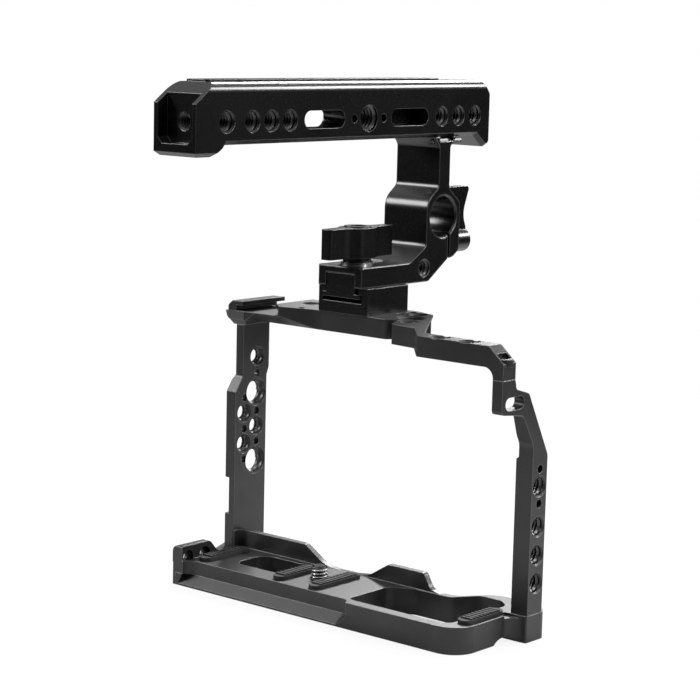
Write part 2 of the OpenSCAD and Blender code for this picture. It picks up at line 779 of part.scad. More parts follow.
module stem_outline() {
  foot_y = riser_y - 1.5;
  rounded([
    [foot_y, stem_low, 0.3],
    [rod_y - 8.2, stem_low, 3],
    [rod_y + 3, stem_low + 7.7, 1],
    [rod_y + 6.4, stem_low + 8.4, 1],
    [rod_y + 9.8, stem_low + 10.8, 3],
    [rod_y + 9.8, rod_z + 5.2, 3],
    [rod_y + 3, rod_z + 10.4, 3],
    [rod_y + 3, bar_low - 3.6, 2],
    [rod_y + 6.6, bar_low, 0],
    [rod_y - 6.1, bar_low, 0],
    [rod_y + 3 - post_t, bar_low - 3.6, 2],
    [rod_y + 3 - post_t, rod_z + 11, 3],
    [rod_y - 9.9, rod_z + 6, 7],
    [rod_y - 9.9, arm_top + 5.6, 3],
    [rod_y - 19.2, arm_top, 4],
    [foot_y, arm_top, 0.3]
  ]);
}

key_x = stem_x1 - 2.05;
key_z = bar_low - 1.6;
key_r = 1;
tenon_y0 = rod_y - 1.2;
tenon_y1 = rod_y + 5.8;
tenon_x0 = riser_x - 6.6;
tenon_x1 = riser_x + 6.2;
tenon_h = 3.6;
stem_screw_y = rod_y + 2.3;
stem_screw_xs = [riser_x - 4, riser_x + 4];

module handle_stem() {
  foot_half = foot_block_w / 2 + slide_gap;
  color(handle_colour) in_frame() difference() {
    union() {
      side(stem_x0, stem_x1) stem_outline();
      plan(bar_low - 1, bar_low + tenon_h)
        translate([tenon_x0, tenon_y0]) square([tenon_x1 - tenon_x0, tenon_y1 - tenon_y0]);
    }
    // Rod bore with bevelled mouths
    rod_x(stem_x0 - 1, stem_x1 + 1, rod_y, rod_z, rod_r);
    translate([stem_x1 - 0.7, rod_y, rod_z]) rotate([0, 90, 0])
      cylinder(h = 0.7 + eps, r1 = rod_r, r2 = rod_r + 0.7 + eps);
    translate([stem_x0 - eps, rod_y, rod_z]) rotate([0, 90, 0])
      cylinder(h = 0.7 + eps, r1 = rod_r + 0.7 + eps, r2 = rod_r);
    // Slit that lets the clamp close
    side(stem_x0 - 1, stem_x1 + 1)
      translate([rod_y + 3.1, stem_low + 5]) square([slit_w, rod_z - stem_low - 5]);
    // Lever screw through the jaw into the stem
    rod_y_dir(riser_x, rod_y - 6, rod_y + 12, lever_z, m4_r + turn_gap);
    // Pocket for the T foot's block, open at the back end
    plan(stem_low - 1, foot_low + foot_flange_t + foot_block_h + slide_gap)
      translate([riser_x - foot_half, riser_y - 4])
        square([2 * foot_half, foot_len + 3.2]);
    rod_up(riser_x, stud_y, stem_low, arm_top + 1, stud_r + 0.15);
    // Accessory hole in the side of the arm
    translate([stem_x1 - 8, rod_y - 10.8, stem_low + 5.1]) rotate([0, 90, 0])
      cylinder(h = 9, r = quarter_r);
    for (x = stem_screw_xs) rod_up(x, stem_screw_y, bar_low - 2.2, bar_low + 9, m3_r);
    // Seat for the key, and a pocket above it open at the side
    rod_y_dir(key_x, rod_y - 7, rod_y + 7, key_z, key_r, $fn = 6);
    plan(key_z, bar_low + 1)
      box2(key_x - key_r - 0.25, rod_y - 3.4, stem_x1 + 1, rod_y + 4.7, 0.8);
  }
}

module stem_screws() {
  color(steel_colour) in_frame() for (x = stem_screw_xs)
    translate([x, stem_screw_y, bar_top - 1]) rotate([180, 0, 0])
      cap_screw(m3_r, m3_head_r, m3_head_h, bar_top - bar_low + 1);
}

// ---- T foot, stud, washer and wing knob ----

module t_foot() {
  y0 = riser_y - 1.2;
  color(handle_colour) in_frame() difference() {
    union() {
      plan(foot_low, foot_low + foot_flange_t)
        box2(riser_x - foot_w / 2, y0, riser_x + foot_w / 2, y0 + foot_len, 1);
      plan(foot_low + foot_flange_t - eps, foot_low + foot_flange_t + foot_block_h)
        box2(riser_x - foot_block_w / 2, y0, riser_x + foot_block_w / 2, y0 + foot_len, 0.5);
    }
    rod_up(riser_x, stud_y, foot_low - 1, foot_low + foot_flange_t + foot_block_h + 1,
           stud_r + turn_gap);
  }
}

module clamp_screw() {
  color(steel_colour) in_frame()
    rod_up(riser_x, stud_y, foot_low + clamp_lift + 0.2, knob_z + wing_h - 2.2, stud_r);
}

module clamp_washer() {
  color(steel_colour) in_frame() difference() {
    rod_up(riser_x, stud_y, arm_top, arm_top + 1, 6);
    rod_up(riser_x, stud_y, arm_top - 1, arm_top + 2, stud_r + 0.15);
  }
}

module clamp_knob() {
  h = wing_t / 2;
  color(handle_colour) in_frame() translate([riser_x, stud_y, 0]) difference() {
    union() {
      plan(arm_top + 1 + slide_gap, knob_z + 1) circle(5.2);
      plan(knob_z, knob_z + wing_h)
        rounded([[-h, -wing_r, 1.2], [h, -wing_r, 1.2], [h + 0.4, -9, 6], [6.2, -4, 4],
                 [6.2, 3, 4], [h + 1.2, 7, 6], [h, wing_r, 1.2], [-h, wing_r, 1.2],
                 [-h - 0.4, 9, 6], [-6.2, 4, 4], [-6.2, -3, 4], [-h - 1.2, -7, 6]]);
      plan(knob_z + 1, knob_z + wing_h + 0.5) circle(5);
    }
    rod_up(0, 0, arm_top, knob_z + wing_h - 2.2, stud_r);
    rod_up(0, 0, knob_z + wing_h - 2.3, knob_z + wing_h + 1, 3);
  }
}

// ---- Rod clamp lever ----

lever_gap = 1;

module rod_lever() {
  y0 = lever_y - 0.5 + lever_gap + slide_gap;
  y1 = lever_y + 14.8;
  color(handle_colour) in_frame() difference() {
    union() {
      rod_y_dir(riser_x, y0, y1 - 1.2, lever_z, lever_hub_r);
      translate([riser_x, y1 - 1.2 - eps, lever_z]) rotate([-90, 0, 0])
        cylinder(h = 1.2, r1 = lever_hub_r, r2 = lever_hub_r - 1.2);
      side(riser_x - 2.2, riser_x + 2.2)
        rounded([[y0 + 1, lever_z, 0], [y1 - 1.4, lever_z, 0], [y1 - 1.4, lever_z + 5, 3],
                 [y1 - 3.6, lever_z + 10, 9], [y1 + 0.4, lever_z + lever_reach, 1.2],
                 [y0 + 1.6, lever_z + lever_reach, 1.2], [y0 + 2.4, lever_z + 10, 20]]);
    }
    rod_y_dir(riser_x, y0 - 1, y0 + 7, lever_z, m4_r);
  }
}

module rod_lever_screw() {
  color(steel_colour) in_frame()
    rod_y_dir(riser_x, rod_y - 5.4, lever_y + 7.4, lever_z, m4_r);
}

module rod_lever_washer() {
  color(steel_colour) in_frame() difference() {
    rod_y_dir(riser_x, rod_y + 9.8, rod_y + 9.8 + lever_gap - 0.4, lever_z, 3.8);
    rod_y_dir(riser_x, rod_y + 9, rod_y + 12, lever_z, m4_r + turn_gap);
  }
}

// ---- Handle bar ----

slot_y0 = bar_y0 + 53.1;
slot_len = 21.3;
slot_r = 3.1;
blind_y0 = bar_y1 - 58.6;
bar_quarter_back = [14.7, 27, 36.4, 45.8];
bar_quarter_front = [29.1, 19.1, 9.1];
bar_big_y = slot_y0 + 34.4;
bar_pins = [bar_big_y - 7.9, bar_big_y + 8.3];
blind_depth = 9;

nose_z = bar_low - 4.3;
nose_y = bar_y1 - 8;
nose_run = 5.4;
nose_slope = atan2(bar_low - nose_z, nose_run);

module bar_section(low, bevel) {
  rounded([[bar_x0 + bevel, low, 0], [bar_x1 - bevel, low, 0], [bar_x1, low + bevel, 0],
           [bar_x1, bar_top, bar_round], [bar_x0, bar_top, bar_round],
           [bar_x0, low + bevel, 0]]);
}

module bar_form() {
  slope_y = bar_y0 + 9.5;
  slope_z = bar_top - 6.9;
  // Main length
  intersection() {
    side(bar_x0, bar_x1)
      rounded([[bar_y0, bar_low - 2, 0], [bar_y1, bar_low, 0],
               [bar_y1, bar_top - 5, 1.5], [bar_y1 - 3.8, bar_top, 1.5],
               [slope_y, bar_top, 0], [bar_y0, slope_z, 0]]);
    front(bar_y0 - 1, bar_y1 + 1) bar_section(bar_low, bar_low_bevel);
  }
  // Nose below the back end
  intersection() {
    side(bar_x0, bar_x1)
      rounded([[bar_y0, bar_low - 2.4, 0], [bar_y0 + 1.6, back_nose_z, 0],
               [bar_y0 + 8, back_nose_z, 1],
               [bar_y0 + 14.6, bar_low, 6], [bar_y0 + 14.6, bar_low + 3, 0],
               [bar_y0, bar_low + 3, 0]]);
    front(bar_y0 - 1, bar_y0 + 20) bar_section(back_nose_z, bar_low_bevel);
  }
  // Nose below the front end, its flank bevelled along both sides
  intersection() {
    side(bar_x0, bar_x1)
      rounded([[nose_y - 3, bar_low + 4, 0], [nose_y - 3, nose_z, 0],
               [bar_y1 - 1.7, nose_z, 0.8], [bar_y1, bar_low - 2, 0],
               [bar_y1, bar_low + 4, 0]]);
    translate([0, nose_y, bar_low]) rotate([-nose_slope, 0, 0]) front(-8, 20)
      polygon([[bar_x0 + bar_low_bevel, 0], [bar_x1 - bar_low_bevel, 0],
               [bar_x1 + 20, bar_low_bevel + 20], [bar_x0 - 20, bar_low_bevel + 20]]);
    front(nose_y - 2, bar_y1 + 1) bar_section(nose_z, bar_low_bevel);
  }
  // Land along the top
  plan(bar_top - 1, bar_top + land_h)
    box2(bar_x0 + 4.4, bar_y0 + 9.9, bar_x1 - 4.4, bar_y1 - 25, 1.5);
}

module end_pocket() {
  x0 = bar_x0 + 1.8;
  x1 = bar_x1 - 1.8;
  low = bar_low + 0.4;
  intersection() {
    front(bar_y0 - 1, bar_y0 + 4.5)
      polygon([[x0 + 2, low], [x1 - 2, low], [x1, low + 2], [x1, bar_top + 2],
               [x0, bar_top + 2], [x0, low + 2]]);
    side(bar_x0, bar_x1)
      polygon([[bar_y0 - 1, low - 1], [bar_y0 + 4.5, low - 1], [bar_y0 + 4.5, bar_top - 5.6],
               [bar_y0 + 5.6, bar_top + 2], [bar_y0 - 1, bar_top + 2]]);
  }
}

module handle_bar() {
  color(handle_colour) in_frame() difference() {
    bar_form();
    end_pocket();
    rod_y_dir((bar_x0 + bar_x1) / 2, bar_y0 + 4, bar_y0 + 10.4, hole_z, quarter_r);
    for (d = bar_quarter_back) tapped_x(bar_x0, bar_x1, bar_y0 + d, hole_z, quarter_r);
    for (d = bar_quarter_front) tapped_x(bar_x0, bar_x1, bar_y1 - d, hole_z, quarter_r);
    // Slot right through, with a longer recess behind it
    side(bar_x0 - 1, bar_x1 + 1) slot2(slot_y0, slot_y0 + slot_len, hole_z, slot_r);
    side(bar_x0 - 1, bar_x0 + 9.6)
      slot2(slot_y0 - 0.8, slot_y0 + slot_len + 10.6, hole_z, slot_r + 0.8);
    side(bar_x1 - blind_depth, bar_x1 + 1) slot2(blind_y0, blind_y0 + 21.5, hole_z, slot_r);
    rod_x(bar_x1 - blind_depth, bar_x1 + 1, bar_big_y, hole_z, three_eighths_r);
    for (y = bar_pins) rod_x(bar_x1 - blind_depth, bar_x1 + 1, y, hole_z, pin_r);
    // Mortise for the stem and its screws
    plan(bar_low - 1, bar_low + tenon_h + 0.1)
      translate([tenon_x0 - 0.05, tenon_y0 - 0.05])
        square([tenon_x1 - tenon_x0 + 0.1, tenon_y1 - tenon_y0 + 0.1]);
    for (x = stem_screw_xs) {
      rod_up(x, stem_screw_y, bar_low, bar_top + 2, m3_r);
      rod_up(x, stem_screw_y, bar_top - 1 - m3_head_h, bar_top + 2, m3_head_r + 0.1);
    }
  }
}

module hex_key() {
  color(steel_colour) in_frame() {
    rod_y_dir(key_x, rod_y - 2, rod_y + 11.3, key_z, key_r, $fn = 6);
  }
}

base_plate();
left_column();
top_plate();
grip_column();
grip_base_screws();
grip_corner_screw();
riser_block();
riser_screws();
pad_left();
pad_mid_a();
pad_mid_b();
pad_right();
camera_screw();
camera_screw_clip();
handle_bar();
handle_stem();
stem_screws();
t_foot();
clamp_screw();
clamp_washer();
clamp_knob();
rod_lever();
rod_lever_screw();
rod_lever_washer();
hex_key();
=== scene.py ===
# %% [markdown]
# # A camera cage with a top handle
# The cage is a skeleton of machined aluminium that goes round a mirrorless camera. Its exact
# shapes come from a CAD model, which is loaded here as a fixed frame. Blender adds what CAD
# leaves out: the finishes, among them the matt skin of the ribbed rubber, the threads in the
# holes and the light.

# %% Load the CAD frame
import json
import math
import bmesh
import bpy
from mathutils import Matrix, Vector


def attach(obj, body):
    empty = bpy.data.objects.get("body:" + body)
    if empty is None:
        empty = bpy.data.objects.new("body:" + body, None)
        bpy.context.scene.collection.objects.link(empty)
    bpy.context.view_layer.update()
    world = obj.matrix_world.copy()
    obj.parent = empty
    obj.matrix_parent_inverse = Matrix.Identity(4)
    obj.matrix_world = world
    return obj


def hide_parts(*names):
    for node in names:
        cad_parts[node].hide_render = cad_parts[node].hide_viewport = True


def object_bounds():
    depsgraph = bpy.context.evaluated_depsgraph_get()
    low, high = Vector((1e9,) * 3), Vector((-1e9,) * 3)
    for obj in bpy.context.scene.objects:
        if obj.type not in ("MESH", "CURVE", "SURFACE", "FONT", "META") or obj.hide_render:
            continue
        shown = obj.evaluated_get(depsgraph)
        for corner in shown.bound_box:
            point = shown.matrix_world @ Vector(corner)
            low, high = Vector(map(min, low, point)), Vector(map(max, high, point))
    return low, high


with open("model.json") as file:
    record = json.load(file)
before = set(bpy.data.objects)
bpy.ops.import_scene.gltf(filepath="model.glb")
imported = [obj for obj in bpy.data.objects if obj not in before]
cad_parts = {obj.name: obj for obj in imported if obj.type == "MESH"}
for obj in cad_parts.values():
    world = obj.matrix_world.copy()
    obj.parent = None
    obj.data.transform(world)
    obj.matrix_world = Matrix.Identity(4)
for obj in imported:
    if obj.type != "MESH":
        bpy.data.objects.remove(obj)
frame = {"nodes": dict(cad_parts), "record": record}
cad_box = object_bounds()
MM = 0.001

# %% [markdown]
# ## Places in the CAD model
# The CAD model measures X from the left end of the base, Y from the camera's back and Z from
# the underside. The frame's origin is the camera screw. One small function turns the first
# kind of number, in millimetres, into the second, in metres, so that every place below reads
# like a workshop drawing.

# %% Drawing places to frame places
ORIGIN_MM = Vector((56.0, 19.5, 9.5))


def place(x, y, z):
    return (Vector((x, y, z)) - ORIGIN_MM) * MM


TOP_Z = 104.5
RISER_X, RISER_Y = 51.1, 34.4
print("riser axis in the frame:", place(RISER_X, RISER_Y, TOP_Z))

# %% [markdown]
# ## The camera
# The cage is seen from its back and right, slightly above. A long lens from 0.8 m keeps the
# uprights nearly parallel. The camera's right, up and back directions are the columns of its
# rotation matrix.

# %% Camera
camera_data = bpy.data.cameras.new("view")
camera_data.lens, camera_data.sensor_width = 109.75, 36.0
camera_data.clip_start, camera_data.clip_end = 0.05, 20
camera = bpy.data.objects.new("view", camera_data)
bpy.context.scene.collection.objects.link(camera)
right = Vector((0.75840, 0.65135, 0.02363))
up = Vector((-0.11631, 0.09955, 0.98821))
back = -Vector((-0.64133, 0.75221, -0.15126))
camera.matrix_world = Matrix((
    (right.x, up.x, back.x, 0.49741),
    (right.y, up.y, back.y, -0.56917),
    (right.z, up.z, back.z, 0.19951),
    (0, 0, 0, 1)))
bpy.context.scene.camera = camera
print("camera distance %.2f m" % camera.location.length)

# %% [markdown]
# ## Finishes
# A finish is a small tree of nodes. These helpers keep the trees short to write: `add` makes
# a node and sets its inputs, and `link` joins two sockets.

# %% Node helpers
class Finish:
    def __init__(self, name):
        self.mat = bpy.data.materials.new(name)
        self.mat.use_nodes = True
        self.tree = self.mat.node_tree
        self.tree.nodes.clear()
        self.out = self.tree.nodes.new("ShaderNodeOutputMaterial")

    def add(self, kind, values=None, **settings):
        n = self.tree.nodes.new("ShaderNode" + kind)
        for key, value in settings.items():
            setattr(n, key, value)
        for key, value in (values or {}).items():
            n.inputs[key].default_value = value
        return n

    def link(self, a, b):
        self.tree.links.new(a, b)

    def ramp(self, source, stops):
        r = self.add("ValToRGB")
        while len(r.color_ramp.elements) < len(stops):
            r.color_ramp.elements.new(0.5)
        for e, (at, colour) in zip(r.color_ramp.elements, stops):
            e.position, e.color = at, (*colour, 1)
        self.link(source, r.inputs["Fac"])
        return r

    def spread(self, source, low, high):
        m = self.add("MapRange", {"To Min": low, "To Max": high})
        self.link(source, m.inputs["Value"])
        return m


def grey(v, tint=0.0):
    return (v, v, v * (1 + tint))


print("helpers ready")

# %% [markdown]
# ### Black anodised aluminium
# The parts are blasted, then anodised black. Blasting leaves a fine grain that only shows as
# a soft gloss, so it is bump and roughness, not colour. Sharp edges catch the light as thin
# pale lines. The Bevel node gives the normal a rounded edge, and where that normal leaves
# the true one the coating is a little paler and smoother: partly worn to bare metal, partly a
# painted highlight that stands in for the light those edges catch.

# %% Anodised finish
def anodised(name, dark, pale, rough, grain, edge, edge_mm=0.35, metal=0.5):
    f = Finish(name)
    where = f.add("TexCoord").outputs["Object"]
    fine = f.add("TexNoise", {"Scale": 2600.0, "Detail": 2.0})
    broad = f.add("TexNoise", {"Scale": 55.0, "Detail": 3.0, "Roughness": 0.6})
    for n in (fine, broad):
        f.link(where, n.inputs["Vector"])
    rounded = f.add("Bevel", {"Radius": edge_mm * MM}, samples=6)
    true = f.add("NewGeometry")
    turn = f.add("VectorMath", operation="DOT_PRODUCT")
    f.link(rounded.outputs["Normal"], turn.inputs[0])
    f.link(true.outputs["Normal"], turn.inputs[1])
    at_edge = f.add("MapRange", {"From Min": 0.995, "From Max": 0.85})
    f.link(turn.outputs["Value"], at_edge.inputs["Value"])
    speck = f.add("Math", {1: 0.6}, operation="MULTIPLY_ADD")
    f.link(fine.outputs["Fac"], speck.inputs[0])
    f.link(broad.outputs["Fac"], speck.inputs[2])
    body = f.ramp(speck.outputs["Value"], [(0.65, grey(dark, 0.04)), (0.95, grey(pale, 0.04))])
    # Edge colour: partly worn bare metal, partly a painted highlight along the edges.
    worn_edge_and_highlight = f.add("Mix", data_type="RGBA")
    worn_edge_and_highlight.inputs["B"].default_value = (*grey(edge), 1)
    f.link(at_edge.outputs["Result"], worn_edge_and_highlight.inputs["Factor"])
    f.link(body.outputs["Color"], worn_edge_and_highlight.inputs["A"])
    gloss = f.spread(fine.outputs["Fac"], rough - 0.05, rough + 0.07)
    bump = f.add("Bump", {"Strength": grain, "Distance": 0.00002})
    f.link(fine.outputs["Fac"], bump.inputs["Height"])
    f.link(rounded.outputs["Normal"], bump.inputs["Normal"])
    bare = f.add("Math", {1: metal}, operation="MULTIPLY")
    f.link(at_edge.outputs["Result"], bare.inputs[0])
    s = f.add("BsdfPrincipled", {"Specular IOR Level": 0.5})
    f.link(worn_edge_and_highlight.outputs["Result"], s.inputs["Base Color"])
    f.link(bare.outputs["Value"], s.inputs["Metallic"])
    f.link(gloss.outputs["Result"], s.inputs["Roughness"])
    f.link(bump.outputs["Normal"], s.inputs["Normal"])
    f.link(s.outputs["BSDF"], f.out.inputs["Surface"])
    return f.mat


cage_black = anodised("cage_satin_black", 0.006, 0.014, 0.38, 0.8, 0.18)
handle_black = anodised("handle_gloss_black", 0.002, 0.004, 0.24, 0.10, 0.09)
stem_black = anodised("stem_gloss_black", 0.002, 0.004, 0.24, 0.10, 0.09, edge_mm=0.9)
thread_black = anodised("thread_cut", 0.012, 0.03, 0.26, 0.10, 0.60, edge_mm=0.15, metal=1.0)
oxide_black = anodised("screw_oxide_black", 0.006, 0.012, 0.33, 0.2, 0.08)
print("finishes:", [m.name for m in bpy.data.materials if m.use_nodes])

# %% [markdown]
# ### Bare steel and rubber
# Turned steel shows faint rings, which are bands of bump along the screw's axis. The grooves
# of its thread are darker, because little light reaches them, so the colour is dimmed by the
# distance from the axis. Rubber is matt with a mottled bloom.

# %% Steel and rubber finishes
def turned_steel(name, tone, rough, groove_mm=(0.0, 0.1)):
    f = Finish(name)
    where = f.add("TexCoord").outputs["Object"]
    flat = f.add("VectorMath", {1: (1, 1, 0)}, operation="MULTIPLY")
    f.link(where, flat.inputs[0])
    radius = f.add("VectorMath", operation="LENGTH")
    f.link(flat.outputs["Vector"], radius.inputs[0])
    # Painted shade: the colour dims towards the axis, so the thread's grooves look shaded.
    groove_painted_shade = f.add("MapRange", {"From Min": groove_mm[0] * MM, "From Max": groove_mm[1] * MM,
                               "To Min": 0.06})
    f.link(radius.outputs["Value"], groove_painted_shade.inputs["Value"])
    rings = f.add("TexNoise", {"Scale": 1400.0, "Detail": 1.0})
    stretch = f.add("Mapping", {"Scale": (0.1, 0.1, 3.0)})
    f.link(where, stretch.inputs["Vector"])
    f.link(stretch.outputs["Vector"], rings.inputs["Vector"])
    tint = f.ramp(rings.outputs["Fac"], [(0.3, grey(tone * 0.8)), (0.7, grey(tone, 0.02))])
    gloss = f.spread(rings.outputs["Fac"], rough - 0.06, rough + 0.08)
    bump = f.add("Bump", {"Strength": 0.15, "Distance": 0.00003})
    f.link(rings.outputs["Fac"], bump.inputs["Height"])
    shade = f.add("VectorMath", operation="SCALE")
    f.link(tint.outputs["Color"], shade.inputs[0])
    f.link(groove_painted_shade.outputs["Result"], shade.inputs["Scale"])
    s = f.add("BsdfPrincipled", {"Metallic": 1.0})
    f.link(shade.outputs["Vector"], s.inputs["Base Color"])
    f.link(gloss.outputs["Result"], s.inputs["Roughness"])
    f.link(bump.outputs["Normal"], s.inputs["Normal"])
    f.link(s.outputs["BSDF"], f.out.inputs["Surface"])
    return f.mat


def moulded_rubber(name):
    f = Finish(name)
    where = f.add("TexCoord").outputs["Object"]
    skin = f.add("TexNoise", {"Scale": 1800.0, "Detail": 4.0})
    bloom = f.add("TexNoise", {"Scale": 160.0, "Detail": 2.0})
    for n in (skin, bloom):
        f.link(where, n.inputs["Vector"])
    tint = f.ramp(bloom.outputs["Fac"], [(0.3, grey(0.010)), (0.75, grey(0.024))])
    gloss = f.spread(skin.outputs["Fac"], 0.55, 0.8)
    bump = f.add("Bump", {"Strength": 0.4, "Distance": 0.00004})
    f.link(skin.outputs["Fac"], bump.inputs["Height"])
    s = f.add("BsdfPrincipled", {"Specular IOR Level": 0.35})
    f.link(tint.outputs["Color"], s.inputs["Base Color"])
    f.link(gloss.outputs["Result"], s.inputs["Roughness"])
    f.link(bump.outputs["Normal"], s.inputs["Normal"])
    f.link(s.outputs["BSDF"], f.out.inputs["Surface"])
    return f.mat


steel = turned_steel("steel_turned", 0.52, 0.28)
steel_thread = turned_steel("steel_thread", 0.72, 0.25, (2.6, 3.1))
rubber = moulded_rubber("rubber_matt")
print("finishes:", len(bpy.data.materials))

# %% [markdown]
# ## Finishing the CAD nodes
# The record already says which slot each node belongs to, so one table from slot to finish
# is enough. The handle's stem has broader rounded corners than the rest, and its own finish
# carries a wider edge radius.

# %% Put finishes on the nodes
SLOT_FINISH = {"cage_black": cage_black, "handle_black": handle_black,
               "screw_black": oxide_black, "rubber_black": rubber, "steel_bright": steel}
for part in frame["record"]["subparts"]:
    node = frame["nodes"][part["node"]]
    if not node.material_slots:
        node.data.materials.append(None)
    for s in node.material_slots:
        s.material = SLOT_FINISH[part["material_slot"]]
stem = frame["nodes"]["handle_stem"]
for s in stem.material_slots:
    s.material = stem_black
print("finished nodes:", len(frame["nodes"]))

# %% [markdown]
# ## Threads
# CAD keeps a threaded hole as a plain bore at the thread's outer radius, and the ridge is
# added here. The ridge that
# winds down the bore is what makes it read as a thread, because each turn catches its own
# line of light. A ridge is a small trapezium swept along a helix, closed at both ends.

# %% Helical ridge
TURN_STEPS = 36


def helix_ridge(bm, mouth, inward, r_out, depth, length, pitch):
    """A ridge from the mouth of a hole, inward along its axis, standing in from r_out."""
    inward = Vector(inward).normalized()
    u = inward.orthogonal().normalized()
    v = inward.cross(u)
    half = pitch * 0.46
    profile = [(r_out + 0.03, -half), (r_out - depth, -pitch * 0.07),
               (r_out - depth, pitch * 0.07), (r_out + 0.03, half)]
    steps = int((length - pitch) / pitch * TURN_STEPS)
    rings = []
    for i in range(steps + 1):
        a = 2 * math.pi * i / TURN_STEPS
        along = pitch * 0.5 + pitch * i / TURN_STEPS
        fade = min(1, i / 8, (steps - i) / 8)
        ring = []
        for r, z in profile:
            r = r_out + 0.03 - (r_out + 0.03 - r) * fade
            off = u * math.cos(a) * r + v * math.sin(a) * r + inward * (along + z)
            ring.append(bm.verts.new(Vector(mouth) + off * MM))
        rings.append(ring)
    for a, b in zip(rings, rings[1:]):
        for k in range(4):
            bm.faces.new((a[k], a[(k + 1) % 4], b[(k + 1) % 4], b[k]))
    bm.faces.new(rings[0])
    bm.faces.new(rings[-1][::-1])


def piece(name, bm, material, body, smooth=False):
    bmesh.ops.recalc_face_normals(bm, faces=bm.faces)
    mesh = bpy.data.meshes.new(name)
    bm.to_mesh(mesh)
    bm.free()
    if smooth:
        mesh.polygons.foreach_set("use_smooth", [True] * len(mesh.polygons))
    mesh.materials.append(material)
    obj = bpy.data.objects.new(name, mesh)
    bpy.context.scene.collection.objects.link(obj)
    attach(obj, body)
    return obj


# The 1/4 in and 3/8 in threads: outer radius, depth and pitch in millimetres
QUARTER = dict(r_out=3.175, depth=0.69, pitch=1.27)
THREE_EIGHTHS = dict(r_out=4.76, depth=0.86, pitch=1.588)
print("ridge steps per turn:", TURN_STEPS)

# %% [markdown]
# ### Where the threads are
# The holes follow the drawing: two rows in the left plate, a row down the grip column, a
# pair on the arm, a cluster on the top plate and two groups along the handle bar. A tapped
# hole opens in a small cone, so each ridge starts just inside it.

# %% Threads of the cage
bm = bmesh.new()
CONE = 0.6          # depth of the cone that each tapped hole opens with
LEFT_IN, LEFT_WALL = 4 - CONE, 4.2
for y, z in ((40.3, 82.5), (33.6, 61.4), (40.3, 55.6), (33.6, 49.4)):
    helix_ridge(bm, place(LEFT_IN, y, z), (-1, 0, 0), length=LEFT_WALL, **QUARTER)
for y, z in ((40.0, 68.8), (40.0, 42.2)):
    helix_ridge(bm, place(LEFT_IN, y, z), (-1, 0, 0), length=LEFT_WALL, **THREE_EIGHTHS)
for z in (20.3, 30.3, 40.3, 54.3):
    helix_ridge(bm, place(141 - CONE, 35.4, z), (-1, 0, 0), length=6.4, **QUARTER)
for x, y in ((111.3, 15.7), (124, 15.7), (80.3, 36.8), (70.6, 54.2)):
    helix_ridge(bm, place(x, y, TOP_Z - CONE), (0, 0, -1), length=6.6, **QUARTER)
helix_ridge(bm, place(75, 45, TOP_Z - CONE), (0, 0, -1), length=6.6, **THREE_EIGHTHS)
helix_ridge(bm, place(24.9, 47, TOP_Z - CONE), (0, 0, -1), length=6.6, **QUARTER)
threads = piece("cage_threads", bm, thread_black, "cage")
print("cage threads:", len(threads.data.polygons), "faces")

# %% Threads of the handle
bm = bmesh.new()
BAR_X1, HOLE_Z = 61.3, 175.8
for y in (-37.8, -25.5, -16.1, -6.7, 76.9, 86.9, 96.9):
    helix_ridge(bm, place(BAR_X1 - CONE, y, HOLE_Z), (-1, 0, 0), length=7.4, **QUARTER)
helix_ridge(bm, place(BAR_X1, 35.0, HOLE_Z), (-1, 0, 0), length=8.6, **THREE_EIGHTHS)
helix_ridge(bm, place(51.5, -48.5, HOLE_Z), (0, 1, 0), length=6.2, **QUARTER)
helix_ridge(bm, place(61.35, 68.8, 119.6), (-1, 0, 0), length=7.6, **QUARTER)
threads = piece("handle_threads", bm, thread_black, "handle")
print("handle threads:", len(threads.data.polygons), "faces")

# %% [markdown]
# ## The end of the flank
# The cutter that makes the sloping flank stops short of the end block, so on the real object
# solid metal ends in a slanted corner there. The CAD model has a small open pocket instead.
# This wedge fills the pocket and gives the corner its diagonal face, so the render shows
# more metal here than the CAD solids have.

# %% Wedge at the end of the flank
bm = bmesh.new()
corners = ((1.4, 0.01, 0.65), (2.9, 0.01, 0.65), (4.9, 0.01, 4.74), (1.4, 0.01, 4.74),
           (1.4, 3.55, 4.18), (4.7, 3.55, 4.18))
for c in corners:
    bm.verts.new(place(*c))
bmesh.ops.convex_hull(bm, input=bm.verts)
flank_end = piece("flank_end", bm, cage_black, "cage")
print("flank end:", len(flank_end.data.polygons), "faces")

# %% [markdown]
# ## The camera screw
# The bright screw in the seat is the one part that everybody looks for. Its thread is cut
# into it, so the whole screw is made again here: a shaft whose radius rises and falls along
# a helix, and a wide slotted head below.

# %% Camera screw
def threaded_shaft(bm, z0, z1, r_out, depth, pitch, bevel):
    steps_z = int((z1 - z0) / pitch * 14)
    rows = []
    for j in range(steps_z + 1):
        z = z0 + (z1 - z0) * j / steps_z
        row = []
        for i in range(TURN_STEPS):
            phase = (z / pitch - i / TURN_STEPS) % 1
            wave = max(0, min(1, (abs(phase - 0.5) * 2 - 0.12) / 0.76))
            r = r_out - depth * wave
            r = min(r, r_out - bevel + (z1 - z))
            a = 2 * math.pi * i / TURN_STEPS
            row.append(bm.verts.new(Vector((math.cos(a) * r, math.sin(a) * r, z)) * MM))
        rows.append(row)
    for a, b in zip(rows, rows[1:]):
        for i in range(TURN_STEPS):
            k = (i + 1) % TURN_STEPS
            bm.faces.new((a[i], a[k], b[k], b[i]))
    bm.faces.new(rows[0][::-1])
    bm.faces.new(rows[-1])


bm = bmesh.new()
threaded_shaft(bm, 0.0, 4.4, 3.175, 0.6, 1.27, 0.9)
shaft = piece("camera_screw_thread", bm, steel_thread, "screw")
print("camera screw thread:", len(shaft.data.polygons), "faces")

